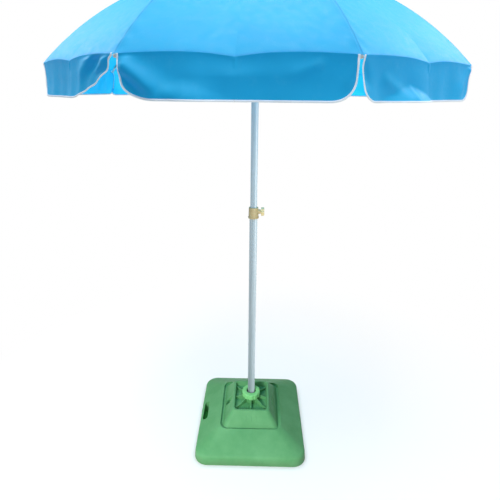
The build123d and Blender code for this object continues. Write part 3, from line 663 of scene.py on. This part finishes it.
def edge_path(gore, side):
    """Places and drops along the bound edge: down the side, round the corner, to the middle."""
    places = flap_places(gore, side)
    foot = flap_depth(gore, places[-1])
    down = [(places[-1], foot * i / BIND_SIDE_STEPS) for i in range(BIND_SIDE_STEPS)]
    return down + [(place, flap_depth(gore, place)) for place in reversed(places)]


def make_binding(gore, side, material):
    """The tape folded over the flap's edge, as a flat sleeve along it."""
    path = edge_path(gore, side)
    centres = [flap_point(gore, place, drop) for place, drop in path]
    points, cloth, run = [], [], 0.0
    for i, (place, drop) in enumerate(path):
        ahead, behind = centres[min(i + 1, len(path) - 1)], centres[max(i - 1, 0)]
        way = (ahead - behind).normalized()
        across = flap_point(gore, place - side * PROBE, drop) - centres[i]
        above = flap_point(gore, place, max(0.0, drop - PROBE))
        upward = above - centres[i] + Vector((0, 0, 1e-5))
        normal = across.cross(upward).normalized()
        inner = way.cross(normal).normalized()
        run += (centres[i] - behind).length if i else 0.0
        for k in range(BIND_SIDES):
            turn = 2 * pi * k / BIND_SIDES
            wide, thick = BIND_WIDTH / 2 * cos(turn), BIND_THICK / 2 * sin(turn)
            points.append(centres[i] + inner * wide + normal * thick)
            cloth.append((wide, run))
    faces = ring_faces(len(path), BIND_SIDES)
    faces.append(tuple(reversed(range(BIND_SIDES))))
    faces.append(tuple(range(len(points) - BIND_SIDES, len(points))))
    return mesh_object(half_name("binding", gore, side), points, faces, material, cloth)


def make_flaps(materials):
    """Each flap in two halves, which ride with the ribs at its ends and gather as those fold."""
    made = []
    for gore in range(RIBS):
        for side in (-1, 1):
            rib = gore if side < 0 else (gore + 1) % RIBS
            half = make_flap_half(gore, side, materials["canopy_cloth"])
            binding = make_binding(gore, side, materials["white_tape"])
            for piece in (half, binding):
                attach(piece, f"valance_{rib + 1}")
                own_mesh(piece)
            made += [half, binding]
        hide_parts(f"valance_{gore + 1}")
    return made


# --- the crown patch -------------------------------------------------------------------------
# Its radius and hole, how far it lies over the canopy, and how its sewn edge turns down.
PATCH_RADIUS = 0.046
PATCH_HOLE = 0.0055
PATCH_RISE = 0.0012
PATCH_EDGE_WIDTH = 0.004
PATCH_EDGE_DROP = 0.0009
PATCH_RINGS = 14
PATCH_SPOKES = 64


def make_crown_patch(material):
    """The round patch that is sewn over the gores' points, under the finial."""
    points, cloth = [], []
    for radius in span(PATCH_HOLE, PATCH_RADIUS, PATCH_RINGS):
        edge = PATCH_EDGE_DROP * smooth(radius, PATCH_RADIUS - PATCH_EDGE_WIDTH, PATCH_RADIUS)
        angle, lying = asin(radius / ARC_RADIUS), ARC_RADIUS + PATCH_RISE - edge
        top = Vector((0, 0, ARC_CENTRE + lying * cos(angle)))
        for k in range(PATCH_SPOKES):
            spoke = outward(2 * pi * k / PATCH_SPOKES)
            points.append(spoke * (lying * sin(angle)) + top)
            cloth.append((radius * spoke.x + NO_SEAM, radius * spoke.y))
    faces = ring_faces(PATCH_RINGS, PATCH_SPOKES)
    patch = mesh_object("crown_patch", points, faces, material, cloth)
    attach(patch, "upper_pole")
    return patch


# --- stage -----------------------------------------------------------------------------------
# The floor's half width and its reach to the front, and the backdrop's place, height and bend.
STAGE_HALF = 14.0
STAGE_FRONT = 7.0
STAGE_BACK = 5.0
STAGE_HEIGHT = 7.0
STAGE_BEND = 2.0
BEND_STEPS = 12
# The painted shade on the floor that shows through the hand hole: its place to the left, and half
# its size.
HOLE_X = 0.255
HOLE_HALF_WIDTH = 0.032
HOLE_HALF_LENGTH = 0.20
# How far from the pole the floor starts to fade to plain white, and where it has done so.
FADE_START = 0.7
FADE_END = 1.9
# Light as a colour and a strength: what falls on the object, and what the background shows.
SOFT_SKY = ((0.93, 0.96, 1.0, 1), 0.26)
PLAIN_WHITE = ((1, 1, 1, 1), 1.0)
# The last characters of the names of the flaps that show their inner side.
FAR_FLAPS = "12348"


def make_stage():
    """A floor that bends up into a backdrop."""
    bend_y = STAGE_BACK - STAGE_BEND
    profile = [(-STAGE_FRONT, 0.0), (bend_y, 0.0)]
    for step in range(1, BEND_STEPS + 1):
        a = radians(90) * step / BEND_STEPS
        profile.append((bend_y + STAGE_BEND * sin(a), STAGE_BEND - STAGE_BEND * cos(a)))
    profile.append((STAGE_BACK, STAGE_HEIGHT))
    points = []
    for y, z in profile:
        points += [(-STAGE_HALF, y, z), (STAGE_HALF, y, z)]
    floor = mesh_object("studio_floor", points, grid_faces(len(profile), 2), floor_material())
    return floor


def background_share(tree):
    """1 for the rays that show the white background: from the camera, a glossy face or glass."""
    path = tree.nodes.new("ShaderNodeLightPath")
    share = path.outputs["Is Camera Ray"]
    for ray in ("Is Glossy Ray", "Is Transmission Ray"):
        either = tree.nodes.new("ShaderNodeMath")
        either.operation = "MAXIMUM"
        tree.links.new(share, either.inputs[0])
        tree.links.new(path.outputs[ray], either.inputs[1])
        share = either.outputs[0]
    return share


def floor_material():
    """A pale matt floor that fades to white, with a dark green patch of painted shade where the
    hand hole shows the floor.
    """
    s = Shader("studio_floor", Specular_IOR_Level=0.1)
    x, y, _ = s.split(s.place)
    # Painted shade: a dark green patch on the floor stands in for the deep shade under the tank,
    # seen through the hand hole.
    off_hole = s.math("ABSOLUTE", s.math("ADD", x, HOLE_X))
    hole_shade = s.math("MULTIPLY", s.math("LESS_THAN", off_hole, HOLE_HALF_WIDTH),
                    s.math("LESS_THAN", s.math("ABSOLUTE", y), HOLE_HALF_LENGTH))
    bounced = s.node("LightPath").outputs["Is Diffuse Ray"]
    pale = s.mix(bounced, rgb(236, 237, 236), rgb(180, 181, 180))
    s.colour(s.mix(hole_shade, pale, rgb(40, 120, 48)))
    s.rough(0.9)
    away = s.node("VectorMath", {0: s.place}, operation="LENGTH").outputs["Value"]
    faded = s.ramp(away, FADE_START, FADE_END)
    white = s.node("Emission", dict(zip(("Color", "Strength"), PLAIN_WHITE)))
    s.overlay(white, s.math("MULTIPLY", background_share(s.tree), faded))
    return s.material


def add_area(name, at, aim, size, power, only=(), shaded_by=()):
    """A soft rectangular lamp. It may light only some pieces, and only some may shade it."""
    light = bpy.data.lights.new(name, "AREA")
    light.shape = "RECTANGLE"
    light.size, light.size_y = size
    light.energy = power
    made = bpy.data.objects.new(name, light)
    made.location = at
    made.rotation_euler = (Vector(aim) - Vector(at)).to_track_quat("-Z", "Y").to_euler()
    bpy.context.scene.collection.objects.link(made)
    if only:
        made.light_linking.receiver_collection = group_of(name + "_lights", only)
    if shaded_by:
        made.light_linking.blocker_collection = group_of(name + "_shades", shaded_by)


def group_of(name, pieces):
    """A collection outside the scene, as light linking wants it."""
    group = bpy.data.collections.new(name)
    for piece in pieces:
        group.objects.link(piece)
    return group


def make_lights(cloth, floor):
    """Soft daylight, with its own lamps for each group of pieces, so that none clips."""
    tapes = [piece for piece in cloth if piece.name.startswith("binding")]
    flaps = [piece for piece in cloth if piece.name.startswith("flap")]
    far = [piece for piece in flaps if piece.name[-1] in FAR_FLAPS]
    nodes = frame["nodes"]
    base = [nodes[name] for name in ("base_tank", "locking_nut")]
    tubes = [nodes[name] for name in ("lower_tube", "upper_tube")]
    clamp = [nodes[name] for name in ("coupling_collar", "clamp_knob")]
    rest = [piece for piece in nodes.values() if piece not in tubes] + cloth + [floor]
    add_area("key", (-0.5, -1.25, 5.0), (0, 0, 1.2), (2.0, 2.0), 76, rest)
    add_area("canopy_top", (0.2, 0.3, 5.0), (0, 0, 1.9), (2.6, 2.6), 114, cloth)
    add_area("canopy_left", (-2.9, 1.5, 3.8), (0, 0, 1.9), (1.6, 1.6), 62, cloth)
    add_area("canopy_right", (2.9, 1.5, 3.8), (0, 0, 1.9), (1.6, 1.6), 70, cloth)
    add_area("flap_right", (2.6, -1.6, 1.9), (0.5, -0.4, 1.95), (0.8, 0.8), 22, cloth)
    add_area("canopy_back", (0.4, 3.6, 2.7), (0, 0.6, 1.9), (2.4, 1.4), 80, cloth)
    add_area("far_flaps", (0.1, -0.9, 0.3), (-0.2, 0.6, 1.8), (1.2, 1.2), 40, far)
    add_area("tape_front", (-0.3, -3.4, 2.2), (0, 0, 2.0), (1.8, 1.0), 26, tapes)
    add_area("base_front", (-1.1, -2.4, 1.7), (0, 0, 0.1), (0.7, 0.7), 70, base)
    add_area("nut_front", (-0.6, -1.6, 1.5), (0, 0, 0.2), (0.4, 0.4), 21, base[1:])
    add_area("pole_right", (1.7, -0.8, 1.2), (0, 0, 1.1), (0.5, 2.2), 46, tubes)
    add_area("pole_left", (-1.5, -1.2, 1.3), (0, 0, 1.1), (0.5, 2.0), 17, tubes)
    add_area("clamp_front", (0.5, -2.0, 1.5), (0.03, 0, 1.27), (0.4, 0.4), 27, clamp)
    add_area("base_back", (-0.8, 2.6, 1.9), (0, 0, 0.1), (1.2, 1.0), 16, base)
    add_area("floor_fill", (0, 0.4, 4.5), (0, 0.4, 0), (5.0, 5.0), 260, [floor], base)


def make_world():
    """Soft light from the sky, and plain white for the rays that show the background."""
    world = bpy.data.worlds.new("studio")
    world.use_nodes = True
    nodes, links = world.node_tree.nodes, world.node_tree.links
    nodes.clear()
    out, mix = nodes.new("ShaderNodeOutputWorld"), nodes.new("ShaderNodeMixShader")
    links.new(background_share(world.node_tree), mix.inputs[0])
    for slot, (colour, strength) in enumerate((SOFT_SKY, PLAIN_WHITE), 1):
        light = nodes.new("ShaderNodeBackground")
        light.inputs[0].default_value, light.inputs[1].default_value = colour, strength
        links.new(light.outputs[0], mix.inputs[slot])
    links.new(mix.outputs[0], out.inputs[0])
    bpy.context.scene.world = world


def make_camera():
    """Turned about the upright first, then tilted down, then rolled about its own axis."""
    data = bpy.data.cameras.new("camera")
    data.lens, data.sensor_width = CAMERA_LENS, SENSOR
    made = bpy.data.objects.new("camera", data)
    turn = Matrix.Rotation(CAMERA_TURN, 4, "Z")
    tilt = Matrix.Rotation(radians(90) - CAMERA_TILT, 4, "X")
    roll = Matrix.Rotation(CAMERA_ROLL, 4, "Z")
    made.matrix_world = Matrix.Translation(CAMERA_AT) @ turn @ tilt @ roll
    bpy.context.scene.collection.objects.link(made)
    bpy.context.scene.camera = made


make_camera()
floor = make_stage()
materials = make_materials()
dress_frame(materials)
cloth = make_canopy_cloth(materials)
cloth += make_flaps(materials)
cloth.append(make_crown_patch(materials["canopy_cloth"]))
make_lights(cloth, floor)
make_world()
bpy.context.scene.view_settings.view_transform = "Standard"
